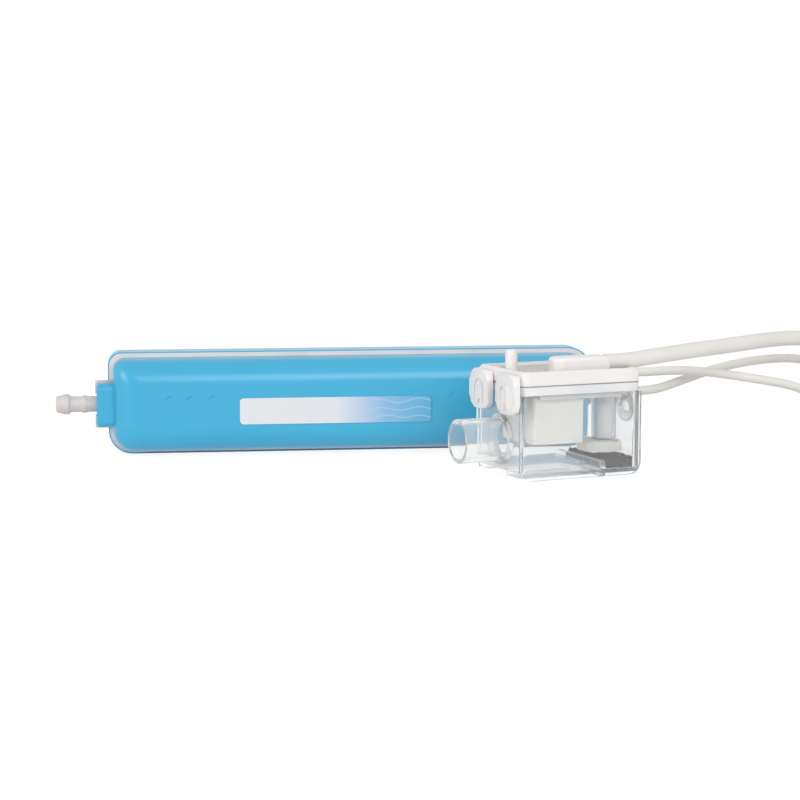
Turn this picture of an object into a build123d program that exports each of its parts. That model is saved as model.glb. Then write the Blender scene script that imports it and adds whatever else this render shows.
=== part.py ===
"""Mini condensate pump with its float reservoir and leads, in millimetres.

The pod-shaped pump stands on its long narrow side with its mounting side towards +Y.
The clear reservoir stands in front of its right end. The origin is the middle of the
flat strip that the pump stands on. +X runs along the pump, from outlet to inlet.
"""
from math import cos, pi, radians, sin, tan
import os

from build123d import *

os.makedirs("parts", exist_ok=True)

# ---------------------------------------------------------------- driving sizes
# Pod-shaped pump casing: length, height as it stands, and depth from front to back
body_length = 189.2
body_height = 39.3
body_depth = 28.0
casing_wall = 1.8
rear_shell_depth = 12.0
corner_top_left = 5.0
corner_bottom_left = 9.0
corner_right = 10.0
back_edge_radius = 2.0
seam_width = 1.4
seam_standoff = 0.35
front_inset = 1.9
front_curve_depth = 9.0
front_curve_inset = 9.7
curve_steps = 6

# Bosses where the hoses leave the casing
boss_reach = 4.3
boss_width = 16.0
boss_height = 16.8
boss_corner = 3.5

# Hose barbs
barb_length = 15.5
barb_shaft_radius = 3.03
barb_ridge_radius = 3.9
barb_bore_radius = 1.8
barb_flange_radius = 5.5
barb_flange_thickness = 2.0
barb_shank_radius = 4.0
barb_tip_reach = 4.6
barb_land = 0.8
barb_tip_step = 0.5
barb_ripple_start = 3.6
barb_ripple_height = 0.32
fit_clearance = 0.1
cut_over = 1.0

# Solenoid piston pump inside the casing
head_radius = 8.0
head_length = 17.0
seat_from_end = 11.9
ball_radius = 2.5
ball_lift = 1.0
valve_chamber_radius = 2.9
sleeve_length = 66.0
sleeve_bore_radius = 4.5
sleeve_wall = 0.8
piston_length = 26.0
piston_bore_radius = 1.4
spring_wire = 0.5
spring_clearance = 0.4
bobbin_length = 46.0
bobbin_flange_radius = 9.4
bobbin_flange = 1.5
bobbin_wall = 1.0
winding_radius = 8.6
yoke_thickness = 1.5
yoke_width = 13.0
rubber_ring_width = 5.0
inner_hose_wall = 1.4

# Control board
board_length = 58.0
board_height = 24.0
board_thickness = 1.6
board_from_right = 20.0
board_setback = 2.2
board_post_radius = 1.6
board_post_inset = 4.0
board_post_rise = 5.0
capacitor_length = 13.0
capacitor_height = 6.0
capacitor_depth = 6.5
relay_length = 12.0
relay_height = 7.0
relay_depth = 7.5
component_corner = 0.6

# Lead glands in the right end
gland_length = 15.0
gland_root_radius = 3.0
gland_tip_radius = 2.3
gland_front_setback = 7.5
alarm_gland_height = 30.0
gland_pitch = 7.4
gland_grooves = 3
gland_groove_start = 3.5
gland_groove_pitch = 3.4
gland_groove_width = 1.2
gland_groove_depth = 0.75
gland_grip = 0.4

# Plate and pad
label_length = 73.2
label_height = 10.0
label_thickness = 0.4
label_from_left = 49.6
label_bottom = 12.8
pad_length = 120.0
pad_height = 24.0
pad_thickness = 1.6
pad_corner = 3.0
label_corner = 1.5

# Reservoir: place and yaw of its front left corner, then its own sizes
tank_x = 50.5
tank_y = -91.7
tank_yaw = 17.06
tank_width = 48.4
tank_length = 36.0
tank_wall = 1.5
tank_corner = 3.0
tank_wall_top = 30.3
floor_underside = 1.0
floor_thickness = 1.4
raised_floor_step = 1.6
raised_floor_start = 12.0
plate_corner = 4.5
rib_from_right = 16.4
rib_thickness = 2.4
rib_height = 5.4
fin_y = 3.0
fin_thickness = 1.2
fin_foot = 2.6
fin_height = 10.0

# Drain inlet spigot in the left wall
spigot_y = 15.2
spigot_height = 13.6
spigot_radius = 7.95
spigot_bore_radius = 6.5
spigot_length = 17.8
collar_radius = 9.2
collar_thickness = 2.0
collar_edge = 0.7

# Lid, seal and clips
seal_height = 3.5
skirt_depth = 1.9
skirt_thickness = 1.1
skirt_clearance = 0.25
skirt_notch = 6.0
lid_height = 4.8
lid_wall = 1.6
lid_rim_width = 2.2
lid_recess_depth = 1.1
lid_bevel = 0.9
clip_width = 15.0
clip_thickness = 2.2
clip_standoff = 0.8
clip_height = 14.2
clip_gap = 0.15
clip_hole_radius = 0.75
clip_corner = 4.0
catch_proud = 0.45
catch_width = 5.0
catch_height = 1.6
clip_top_corner = 3.0
clip_edge = 0.9
clip_slot_width = 0.7
clip_slot_length = 7.5
clip_slot_spacing = 3.2

# Sensor head with its lead on the lid
sensor_length = 22.0
sensor_width = 8.6
sensor_height = 5.4
sensor_x = 16.0
sensor_y = 4.8
sensor_edge = 1.6
saddle_sink = 0.3

# Vent tube on the lid
vent_x = 4.9
vent_y = 18.0
vent_radius = 2.2
vent_root_radius = 1.8
vent_bore_radius = 1.3
vent_height = 6.6

# Float on its guide stem
float_x = 6.6
float_y = 4.0
float_from_right = 21.4
float_length = 25.0
float_height = 17.4
float_bottom = 12.2
float_corner = 1.2
stem_radius = 2.0
running_clearance = 0.08
retainer_radius = 4.0
retainer_thickness = 1.3
magnet_radius = 4.6
magnet_height = 3.0
rest_gap = 0.2

# Pick-up tube with its foot, filter mat and wall plug
pickup_from_right = 8.8
pickup_y = 12.0
pickup_radius = 4.4
pickup_bore_radius = 3.0
foot_width = 15.0
foot_height = 4.7
foot_bottom = 7.6
foot_offset = 1.7
foot_corner = 4.0
foot_edge = 1.5
filter_length = 29.0
filter_height = 4.0
plug_y = 8.0
plug_height = 23.8
plug_shank_radius = 2.2
plug_disc_radius = 5.4
plug_disc_thickness = 1.2
plug_reach = 1.0

# Leads and the coils of their stored length
sensor_lead_diameter = 5.8
thin_lead_diameter = 3.5
sensor_coil_x = 206.4
sensor_coil_y = -53.0
sensor_coil_radius = 29.0
sensor_coil_across = 3
sensor_coil_layers = 2
thin_coil_x = 211.4
thin_coil_y = 24.0
thin_coil_radius = 17.5
thin_coil_across = 3
thin_coil_layers = 3
plug_body_length = 18.0
plug_body_width = 9.0
plug_body_height = 7.0
tail_length = 14.0

# ---------------------------------------------------------------- derived places
body_left = -body_length / 2
body_right = body_length / 2
back_y = (rear_shell_depth - back_edge_radius) / 2 + back_edge_radius
front_y = back_y - body_depth
seam_back_y = back_y - rear_shell_depth
seam_front_y = seam_back_y - seam_width
axis_y = (seam_back_y + seam_front_y) / 2
axis_z = body_height / 2
boss_left = body_left - boss_reach
gland_y = front_y + gland_front_setback
power_gland_height = alarm_gland_height - gland_pitch

tank_frame = Plane(
    origin=(tank_x, tank_y, 0),
    x_dir=(cos(radians(tank_yaw)), sin(radians(tank_yaw)), 0),
    z_dir=(0, 0, 1),
)
seal_top = tank_wall_top + seal_height
lid_top = seal_top + lid_height
recess_floor = lid_top - lid_recess_depth
lid_underside = recess_floor - lid_wall
floor_top = floor_underside + floor_thickness
rib_x = tank_width - rib_from_right
pickup_x = tank_width - pickup_from_right
float_width = tank_width - float_x - float_from_right

axis_plane = Plane(origin=(0, axis_y, axis_z), x_dir=(1, 0, 0), z_dir=(0, -1, 0))
pump_axis = Axis((0, axis_y, axis_z), (1, 0, 0))


def upright(y):
    """Sketch plane across the depth of the pump: local x is X, local y is Z."""
    return Plane.XZ.offset(-y)


def across(x):
    """Sketch plane across the pump's axis: local x is Y, local y is Z."""
    return Plane.YZ.offset(x)


def level(z):
    """Level sketch plane of the reservoir, seen from above."""
    return tank_frame.offset(z)


def tank_front(y):
    """Sketch plane along the reservoir's front: local x is its width, local y is Z."""
    return Plane(
        origin=tank_frame.from_local_coords((0, y, 0)),
        x_dir=tank_frame.x_dir,
        z_dir=-tank_frame.y_dir,
    )


def tank_side(x):
    """Sketch plane across the reservoir's width: local x is its length, local y is Z."""
    return Plane(
        origin=tank_frame.from_local_coords((x, 0, 0)),
        x_dir=tank_frame.y_dir,
        z_dir=tank_frame.x_dir,
    )


def finish(block, name):
    """Label the finished piece and write it out."""
    block.part.label = name
    export_step(block.part, f"parts/{name}.step")


# ---------------------------------------------------------------- pump casing
def pod_outline(y, inset):
    """Rounded outline of the pod at depth y, smaller by inset all round."""
    height = body_height - 2 * inset
    ratio = height / body_height
    with BuildSketch(upright(y)) as outline:
        with Locations((0, axis_z)):
            Rectangle(body_length - 2 * inset, height)
        fillet(outline.vertices().group_by(Axis.Y)[-1].sort_by(Axis.X)[0], corner_top_left * ratio)
        fillet(outline.vertices().group_by(Axis.Y)[0].sort_by(Axis.X)[0], corner_bottom_left * ratio)
        fillet(outline.vertices().group_by(Axis.X)[-1], corner_right * ratio)
    return outline.sketch


def front_form(shrink):
    """Front half of the pod: a straight band, then a curve that ends in the flat face."""
    band_y = front_y + front_curve_depth
    sections = []
    for step in range(curve_steps + 1):
        angle = radians(90 * step / curve_steps)
        depth = band_y - (front_curve_depth - shrink) * sin(angle)
        reach_in = front_inset + shrink + (front_curve_inset - shrink / 2) * (1 - cos(angle))
        sections.append(pod_outline(depth, reach_in).face())
    with BuildPart() as form:
        extrude(sections[0], amount=band_y - seam_front_y)
        loft(sections, ruled=True)
    return form.part


def boss_block(y_from, y_to):
    """Block of an end boss between two depths, rounded on its outer long edges."""
    with BuildPart() as block:
        with BuildSketch(across(boss_left)) as face:
            with Locations((axis_y, axis_z)):
                RectangleRounded(boss_width, boss_height, boss_corner)
            with Locations(((y_from + y_to) / 2, axis_z)):
                Rectangle(y_to - y_from, boss_height, mode=Mode.INTERSECT)
        extrude(amount=boss_reach + front_inset + casing_wall)
    return block.part


def end_bores():
    """Round ways through both end walls for the barbs."""
    with BuildPart() as bores:
        with BuildSketch(across(boss_left - cut_over)):
            with Locations((axis_y, axis_z)):
                Circle(barb_shank_radius + fit_clearance)
        extrude(amount=boss_reach + front_inset + casing_wall + 2 * cut_over)
        with BuildSketch(across(body_right + cut_over)):
            with Locations((axis_y, axis_z)):
                Circle(barb_shank_radius + fit_clearance)
        extrude(amount=-(front_inset + casing_wall + 2 * cut_over))
    return bores.part


def gland_bores():
    """Ways through the right end wall for the two lead glands."""
    with BuildPart() as ways:
        with BuildSketch(across(body_right + cut_over)):
            with Locations((gland_y, alarm_gland_height), (gland_y, power_gland_height)):
                Circle(gland_root_radius + fit_clearance)
        extrude(amount=-(front_inset + 2 * casing_wall + 2 * cut_over))
    return ways.part


with BuildPart() as rear_shell:
    extrude(pod_outline(back_y, 0), amount=rear_shell_depth)
    fillet(rear_shell.faces().sort_by(Axis.Y)[-1].edges(), back_edge_radius)
    extrude(
        pod_outline(back_y - casing_wall, casing_wall), amount=rear_shell_depth, mode=Mode.SUBTRACT
    )
    add(boss_block(seam_back_y, axis_y + boss_width / 2))
    add(end_bores(), mode=Mode.SUBTRACT)
finish(rear_shell, "rear_shell")

with BuildPart() as front_shell:
    add(front_form(0))
    add(front_form(casing_wall), mode=Mode.SUBTRACT)
    add(boss_block(axis_y - boss_width / 2, seam_front_y))
    add(end_bores(), mode=Mode.SUBTRACT)
    add(gland_bores(), mode=Mode.SUBTRACT)
finish(front_shell, "front_shell")

with BuildPart() as seam_gasket:
    loft(
        [pod_outline(seam_back_y, seam_standoff).face(), pod_outline(seam_front_y, front_inset).face()],
        ruled=True,
    )
    extrude(
        pod_outline(seam_back_y, front_inset + casing_wall), amount=seam_width, mode=Mode.SUBTRACT
    )
    add(boss_block(seam_front_y, seam_back_y))
    add(end_bores(), mode=Mode.SUBTRACT)
finish(seam_gasket, "seam_gasket")

with BuildPart() as label_plate:
    with BuildSketch(upright(front_y)):
        with Locations((body_left + label_from_left + label_length / 2, label_bottom + label_height / 2)):
            RectangleRounded(label_length, label_height, label_corner)
    extrude(amount=label_thickness)
finish(label_plate, "label_plate")

with BuildPart() as mounting_pad:
    with BuildSketch(upright(back_y + pad_thickness)):
        with Locations((0, axis_z)):
            RectangleRounded(pad_length, pad_height, pad_corner)
    extrude(amount=pad_thickness)
finish(mounting_pad, "mounting_pad")


# ---------------------------------------------------------------- hose barbs
def hose_barb(root_x, way):
    """Barbed hose tail on the pump's axis, pointing along way (-1 left, 1 right)."""
    tip_x = root_x + way * barb_length
    inner_x = root_x - way * (boss_reach + front_inset + casing_wall + barb_flange_thickness)
    flange_x = root_x - way * (boss_reach + front_inset + casing_wall)
    ridge_x = tip_x - way * barb_tip_reach
    ripple_x = root_x + way * barb_ripple_start
    ripple_radius = barb_shaft_radius + barb_ripple_height
    with BuildPart() as barb:
        with BuildSketch(axis_plane):
            with BuildLine():
                Polyline(
                    (inner_x, barb_bore_radius),
                    (inner_x, barb_flange_radius),
                    (flange_x, barb_flange_radius),
                    (flange_x, barb_shank_radius),
                    (root_x, barb_shank_radius),
                    (root_x, barb_shaft_radius),
                    (ripple_x, barb_shaft_radius),
                    (ripple_x + way * barb_ripple_height, ripple_radius),
                    (ripple_x + way * 3 * barb_ripple_height, ripple_radius),
                    (ripple_x + way * 5 * barb_ripple_height, barb_shaft_radius),
                    (ridge_x, barb_shaft_radius),
                    (ridge_x, barb_ridge_radius),
                    (ridge_x + way * barb_land, barb_ridge_radius),
                    (tip_x, barb_shaft_radius - barb_tip_step),
                    (tip_x, barb_bore_radius),
                    close=True,
                )
            make_face()
        revolve(axis=pump_axis)
    return barb


finish(hose_barb(boss_left, -1), "outlet_barb")
finish(hose_barb(body_right, 1), "inlet_barb")


# ---------------------------------------------------------------- solenoid pump
def turned(points):
    """Piece turned about the pump's axis from its half profile."""
    with BuildPart() as piece:
        with BuildSketch(axis_plane):
            with BuildLine():
                Polyline(*points, close=True)
            make_face()
        revolve(axis=pump_axis)
    return piece


def ring(x_from, x_to, inner, outer):
    """Plain ring on the pump's axis."""
    return turned(((x_from, inner), (x_to, inner), (x_to, outer), (x_from, outer)))


outlet_head_x = body_left + front_inset + casing_wall + barb_flange_thickness
sleeve_x = outlet_head_x + head_length
sleeve_end = sleeve_x + sleeve_length
inlet_head_end = sleeve_end + head_length
piston_x = sleeve_x + (sleeve_length - piston_length) / 2
seat_radius = barb_bore_radius
seat_offset = (ball_radius ** 2 - seat_radius ** 2) ** 0.5


def ball_centre(x_from):
    """Centre of the ball that rests on the seat of the head that starts at x_from."""
    return x_from + seat_from_end - seat_offset - rest_gap / 2


def valve_head(x_from):
    """Pump head with a ball chamber, between a round seat on its right and a stop."""
    seat_x = x_from + seat_from_end
    stop_x = ball_centre(x_from) - ball_radius - ball_lift
    return turned((
        (x_from, seat_radius),
        (stop_x, seat_radius),
        (stop_x, valve_chamber_radius),
        (seat_x, valve_chamber_radius),
        (seat_x, seat_radius),
        (x_from + head_length, seat_radius),
        (x_from + head_length, head_radius),
        (x_from, head_radius),
    ))


def valve_ball(x_from):
    """Check ball of the head that starts at x_from."""
    with BuildPart() as ball:
        with Locations((ball_centre(x_from), axis_y, axis_z)):
            Sphere(ball_radius)
    return ball


finish(valve_head(outlet_head_x), "outlet_head")
finish(valve_head(sleeve_end), "inlet_head")
finish(valve_ball(outlet_head_x), "outlet_ball")
finish(valve_ball(sleeve_end), "inlet_ball")

sleeve_radius = sleeve_bore_radius + sleeve_wall
finish(ring(sleeve_x, sleeve_end, sleeve_bore_radius, sleeve_radius), "cylinder_sleeve")

piston_radius = sleeve_bore_radius - running_clearance
finish(
    ring(piston_x, piston_x + piston_length, piston_bore_radius, piston_radius), "piston"
)
spring_radius = piston_radius - spring_clearance
finish(ring(sleeve_x, piston_x, spring_radius - spring_wire, spring_radius), "outlet_spring")
finish(
    ring(piston_x + piston_length, sleeve_end, spring_radius - spring_wire, spring_radius),
    "inlet_spring",
)

bobbin_x = (sleeve_x + sleeve_end - bobbin_length) / 2
bobbin_end = bobbin_x + bobbin_length
bobbin_bore = sleeve_radius + fit_clearance
bobbin_core = bobbin_bore + bobbin_wall
finish(
    turned((
        (bobbin_x, bobbin_bore),
        (bobbin_end, bobbin_bore),
        (bobbin_end, bobbin_flange_radius),
        (bobbin_end - bobbin_flange, bobbin_flange_radius),
        (bobbin_end - bobbin_flange, bobbin_core),
        (bobbin_x + bobbin_flange, bobbin_core),
        (bobbin_x + bobbin_flange, bobbin_flange_radius),
        (bobbin_x, bobbin_flange_radius),
    )),
    "coil_bobbin",
)
finish(
    ring(bobbin_x + bobbin_flange, bobbin_end - bobbin_flange, bobbin_core, winding_radius),
    "coil_winding",
)

with BuildPart() as yoke_frame:
    with BuildSketch(axis_plane):
        with Locations(((bobbin_x + bobbin_end) / 2, 0)):
            Rectangle(
                bobbin_length + 2 * yoke_thickness,
                2 * (bobbin_flange_radius + rest_gap + yoke_thickness),
            )
            Rectangle(bobbin_length, 2 * (bobbin_flange_radius + rest_gap), mode=Mode.SUBTRACT)
    extrude(amount=yoke_width / 2, both=True)
    with BuildSketch(across(bobbin_x - 2 * yoke_thickness)):
        with Locations((axis_y, axis_z)):
            Circle(sleeve_radius + fit_clearance)
    extrude(amount=bobbin_length + 4 * yoke_thickness, mode=Mode.SUBTRACT)
finish(yoke_frame, "yoke_frame")

rubber_radius = back_y - casing_wall - axis_y - rest_gap
rubber_inset = (head_length - rubber_ring_width) / 2
for name, start in (("outlet_rubber_ring", outlet_head_x), ("inlet_rubber_ring", sleeve_end)):
    left = start + rubber_inset
    finish(ring(left, left + rubber_ring_width, head_radius, rubber_radius), name)

inlet_flange_x = body_right - front_inset - casing_wall - boss_reach - barb_flange_thickness
finish(
    ring(inlet_head_end, inlet_flange_x, barb_bore_radius, barb_bore_radius + inner_hose_wall),
    "inner_hose",
)

# ---------------------------------------------------------------- control board
board_x = body_right - board_from_right - board_length / 2
board_y = front_y + casing_wall + board_setback
with BuildPart() as control_board:
    with BuildSketch(upright(board_y + board_thickness)):
        with Locations((board_x, axis_z)):
            Rectangle(board_length, board_height)
    extrude(amount=board_thickness)
    with BuildSketch(upright(board_y)):
        with Locations((board_x, axis_z)):
            with GridLocations(
                board_length - 2 * board_post_inset, 2 * board_post_rise, 2, 2
            ):
                Circle(board_post_radius)
    extrude(amount=board_setback - rest_gap)
finish(control_board, "control_board")

with BuildPart() as capacitor:
    with BuildSketch(upright(board_y + board_thickness)):
        with Locations((board_x - board_length / 4, axis_z + board_height / 4)):
            RectangleRounded(capacitor_length, capacitor_height, component_corner)
    extrude(amount=-capacitor_depth)
finish(capacitor, "capacitor")

with BuildPart() as relay:
    with BuildSketch(upright(board_y + board_thickness)):
        with Locations((board_x + board_length / 8, axis_z + board_height / 4)):
            RectangleRounded(relay_length, relay_height, component_corner)
    extrude(amount=-relay_depth)
finish(relay, "relay")


# ---------------------------------------------------------------- lead glands
def lead_gland(height):
    """Tapered strain relief in the right end wall, with three grip grooves."""
    root_x = body_right - front_inset - casing_wall
    tip_x = body_right + gland_length
    axis = Axis((0, gland_y, height), (1, 0, 0))
    bore = thin_lead_diameter / 2 - gland_grip
    first_groove = body_right + gland_groove_start
    with BuildPart() as gland:
        with BuildSketch(Plane(origin=(0, gland_y, height), x_dir=(1, 0, 0), z_dir=(0, -1, 0))):
            with BuildLine():
                Polyline(
                    (root_x, bore),
                    (root_x, gland_root_radius),
                    (body_right, gland_root_radius),
                    (tip_x, gland_tip_radius),
                    (tip_x, bore),
                    close=True,
                )
            make_face()
            for groove in range(gland_grooves):
                with Locations((first_groove + gland_groove_pitch * groove, gland_root_radius)):
                    Rectangle(gland_groove_width, 2 * gland_groove_depth, mode=Mode.SUBTRACT)
        revolve(axis=axis)
    return gland


finish(lead_gland(alarm_gland_height), "alarm_gland")
finish(lead_gland(power_gland_height), "power_gland")

# ---------------------------------------------------------------- reservoir
tank_middle = (tank_width / 2, tank_length / 2)

with BuildPart() as tank:
    with BuildSketch(level(floor_underside)):
        with Locations(tank_middle):
            RectangleRounded(tank_width, tank_length, tank_corner)
    extrude(amount=tank_wall_top - floor_underside)
    with BuildSketch(level(floor_top)):
        with Locations(tank_middle):
            RectangleRounded(
                tank_width - 2 * tank_wall, tank_length - 2 * tank_wall, tank_corner - tank_wall
            )
    extrude(amount=tank_wall_top, mode=Mode.SUBTRACT)
    # the left part of the floor is raised behind its step
    with BuildSketch(level(floor_top)):
        with Locations((tank_wall, raised_floor_start)):
            Rectangle(
                rib_x - tank_wall,
                tank_length - tank_wall - raised_floor_start,
                align=(Align.MIN, Align.MIN),
            )
    extrude(amount=raised_floor_step)
    with BuildSketch(level(0)):
        with Locations((-cut_over, raised_floor_start)):
            Rectangle(
                rib_x + cut_over,
                tank_length - tank_wall - raised_floor_start,
                align=(Align.MIN, Align.MIN),
            )
    extrude(amount=floor_underside + raised_floor_step, mode=Mode.SUBTRACT)
    # front and back plates run down to the ground, with rounded lower corners
    for depth in (0, tank_length - tank_wall):
        with BuildSketch(tank_front(depth)) as plate:
            Rectangle(tank_width, tank_wall_top, align=(Align.MIN, Align.MIN))
            fillet(plate.vertices().group_by(Axis.Y)[0], plate_corner)
        extrude(amount=-tank_wall)
    # weir rib across the floor, with its foot at the front
    with BuildSketch(level(0)):
        with Locations((rib_x, 0)):
            Rectangle(rib_thickness, tank_length, align=(Align.MIN, Align.MIN))
    extrude(amount=rib_height)
    # tapered fin on the right wall, above the filter mat
    fin_wall = tank_width - tank_wall
    fin_bottom = floor_top + filter_height + rest_gap
    with BuildSketch(tank_front(fin_y)):
        with BuildLine():
            Polyline(
                (fin_wall, fin_bottom),
                (fin_wall - fin_foot, fin_bottom),
                (fin_wall, fin_bottom + fin_height),
                close=True,
            )
        make_face()
    extrude(amount=-fin_thickness)
    # ways through the side walls
    with BuildSketch(tank_side(-cut_over)):
        with Locations((spigot_y, spigot_height)):
            Circle(spigot_radius)
    extrude(amount=tank_wall + 2 * cut_over, mode=Mode.SUBTRACT)
    with BuildSketch(tank_side(tank_width + cut_over)):
        with Locations((plug_y, plug_height)):
            Circle(plug_shank_radius + fit_clearance)
    extrude(amount=-(tank_wall + 2 * cut_over), mode=Mode.SUBTRACT)
    # low catches on the left wall, one behind each clip
    catch_z = seal_top + lid_height / 2 - clip_height + clip_corner
    with BuildSketch(tank_side(0)):
        with Locations((clip_width / 2, catch_z), (tank_length - clip_width / 2, catch_z)):
            Rectangle(catch_width, catch_height)
    extrude(amount=-catch_proud)
finish(tank, "tank")

with BuildPart() as inlet_spigot:
    with BuildSketch(tank_side(-spigot_length)):
        with Locations((spigot_y, spigot_height)):
            Circle(spigot_radius)
    extrude(amount=spigot_length + tank_wall)
    with BuildSketch(tank_side(-collar_thickness)):
        with Locations((spigot_y, spigot_height)):
            Circle(collar_radius)
    extrude(amount=collar_thickness)
    fillet(inlet_spigot.edges().filter_by(GeomType.CIRCLE).sort_by(SortBy.RADIUS)[-2:], collar_edge)
    with BuildSketch(tank_side(-spigot_length)):
        with Locations((spigot_y, spigot_height)):
            Circle(spigot_bore_radius)
    extrude(amount=spigot_length + tank_wall, mode=Mode.SUBTRACT)
finish(inlet_spigot, "inlet_spigot")

with BuildPart() as wall_plug:
    with BuildSketch(tank_side(tank_width + plug_reach)):
        with Locations((plug_y, plug_height)):
            Circle(plug_shank_radius)
    extrude(amount=-(tank_wall + plug_reach))
    with BuildSketch(tank_side(tank_width - tank_wall)):
        with Locations((plug_y, plug_height)):
            Circle(plug_disc_radius)
    extrude(amount=-plug_disc_thickness)
finish(wall_plug, "wall_plug")

filter_x = rib_x + rib_thickness + rest_gap
filter_width = tank_width - tank_wall - rest_gap - filter_x
with BuildPart() as filter_mat:
    with BuildSketch(level(floor_top)):
        with Locations((filter_x + filter_width / 2, tank_wall + rest_gap + filter_length / 2)):
            RectangleRounded(filter_width, filter_length, tank_corner - tank_wall)
    extrude(amount=filter_height)
finish(filter_mat, "filter_mat")

# ---------------------------------------------------------------- lid and seal
with BuildPart() as rim_seal:
    with BuildSketch(level(tank_wall_top)):
        with Locations(tank_middle):
            RectangleRounded(tank_width, tank_length, tank_corner)
    extrude(amount=seal_height)
    skirt_outer = tank_wall + skirt_clearance
    with BuildSketch(level(tank_wall_top)):
        with Locations(tank_middle):
            Rectangle(tank_width - 2 * skirt_outer, tank_length - 2 * skirt_outer)
            Rectangle(
                tank_width, tank_length - 2 * (skirt_outer + skirt_notch), mode=Mode.SUBTRACT
            )
            Rectangle(
                tank_width - 2 * (skirt_outer + skirt_notch), tank_length, mode=Mode.INTERSECT
            )
    extrude(amount=-skirt_depth)
    skirt_inner = skirt_outer + skirt_thickness
    with BuildSketch(level(tank_wall_top - skirt_depth)):
        with Locations(tank_middle):
            Rectangle(tank_width - 2 * skirt_inner, tank_length - 2 * skirt_inner)
    extrude(amount=skirt_depth + seal_height, mode=Mode.SUBTRACT)
finish(rim_seal, "rim_seal")

lead_z = recess_floor + sensor_lead_diameter / 2 - saddle_sink
sensor_mid_y = sensor_y + sensor_width / 2
stem_x = float_x + float_width / 2
stem_y = float_y + float_length / 2

with BuildPart() as lid:
    with BuildSketch(level(seal_top)):
        with Locations(tank_middle):
            RectangleRounded(tank_width, tank_length, tank_corner)
    extrude(amount=lid_height)
    chamfer(lid.faces().sort_by(Axis.Z)[-1].edges(), lid_bevel)
    with BuildSketch(level(recess_floor)):
        with Locations(tank_middle):
            RectangleRounded(
                tank_width - 2 * lid_rim_width, tank_length - 2 * lid_rim_width, tank_corner
            )
    extrude(amount=lid_height, mode=Mode.SUBTRACT)
    with BuildSketch(level(seal_top)):
        with Locations(tank_middle):
            Rectangle(tank_width - 2 * lid_wall, tank_length - 2 * lid_wall)
    extrude(amount=lid_underside - seal_top, mode=Mode.SUBTRACT)
    with BuildSketch(level(seal_top)):
        with Locations((vent_x, vent_y)):
            Circle(vent_root_radius)
    extrude(amount=lid_height, mode=Mode.SUBTRACT)
    # saddle in the right rim for the sensor lead
    with BuildSketch(tank_side(tank_width + cut_over)):
        with Locations((sensor_mid_y, lead_z)):
            Circle(sensor_lead_diameter / 2 + fit_clearance)
            Rectangle(
                sensor_lead_diameter + 2 * fit_clearance,
                sensor_lead_diameter,
                align=(Align.CENTER, Align.MIN),
            )
    extrude(amount=-(tank_width + cut_over - sensor_x - sensor_length), mode=Mode.SUBTRACT)
finish(lid, "lid")

with BuildPart() as sensor_head:
    with BuildSketch(level(recess_floor)):
        with Locations((sensor_x, sensor_y)):
            Rectangle(sensor_length, sensor_width, align=(Align.MIN, Align.MIN))
    extrude(amount=sensor_height)
    fillet(sensor_head.edges().filter_by(Axis.Z).sort_by(Axis.X)[:2], sensor_width / 2 - 0.6)
    fillet(sensor_head.faces().sort_by(Axis.Z)[-1].edges(), sensor_edge)
finish(sensor_head, "sensor_head")

with BuildPart() as vent_tube:
    with BuildSketch(level(lid_underside)):
        with Locations((vent_x, vent_y)):
            Circle(vent_root_radius)
    extrude(amount=lid_wall)
    with BuildSketch(level(recess_floor)):
        with Locations((vent_x, vent_y)):
            Circle(vent_radius)
    extrude(amount=lid_top + vent_height - recess_floor)
    with BuildSketch(level(lid_underside)):
        with Locations((vent_x, vent_y)):
            Circle(vent_bore_radius)
    extrude(amount=lid_top + vent_height - lid_underside, mode=Mode.SUBTRACT)
finish(vent_tube, "vent_tube")


# ---------------------------------------------------------------- clips
def clip(start_y):
    """Spring clip that hangs from the lid's left side over the tank wall."""
    top_z = lid_top - lid_bevel
    outer_x = -clip_standoff - clip_thickness
    with BuildPart() as ear:
        with BuildSketch(tank_side(outer_x)) as face:
            with Locations((start_y + clip_width / 2, top_z)):
                Rectangle(clip_width, clip_height, align=(Align.CENTER, Align.MAX))
            fillet(face.vertices().group_by(Axis.Y)[0], clip_corner)
            fillet(face.vertices().group_by(Axis.Y)[-1], clip_top_corner)
        extrude(amount=clip_thickness)
        # shoulder that carries the clip at the lid's edge
        with BuildSketch(tank_side(outer_x + clip_thickness)):
            with Locations((start_y + clip_width / 2, top_z)):
                Rectangle(clip_width, lid_height - lid_bevel, align=(Align.CENTER, Align.MAX))
        extrude(amount=clip_standoff - clip_gap)
        outer_face = ear.faces().sort_by(Axis(tank_frame.origin, tank_frame.x_dir))[0]
        fillet(outer_face.edges(), clip_edge)
        with BuildSketch(tank_side(outer_x - cut_over)):
            with Locations((start_y + clip_width / 2, catch_z)):
                Circle(clip_hole_radius)
            for side in (-1, 1):
                slot_y = start_y + clip_width / 2 + side * clip_slot_spacing
                with Locations((slot_y, catch_z)):
                    Rectangle(clip_slot_width, clip_slot_length, align=(Align.CENTER, Align.MIN))
        extrude(amount=clip_thickness + 2 * cut_over, mode=Mode.SUBTRACT)
    return ear


finish(clip(0), "clip_front")
finish(clip(tank_length - clip_width), "clip_rear")

# ---------------------------------------------------------------- float
with BuildPart() as guide_stem:
    with BuildSketch(level(lid_underside)):
        with Locations((stem_x, stem_y)):
            Circle(stem_radius)
    extrude(amount=-(lid_underside - float_bottom + rest_gap + retainer_thickness))
    with BuildSketch(level(float_bottom - rest_gap)):
        with Locations((stem_x, stem_y)):
            Circle(retainer_radius)
    extrude(amount=-retainer_thickness)
finish(guide_stem, "guide_stem")

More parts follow.
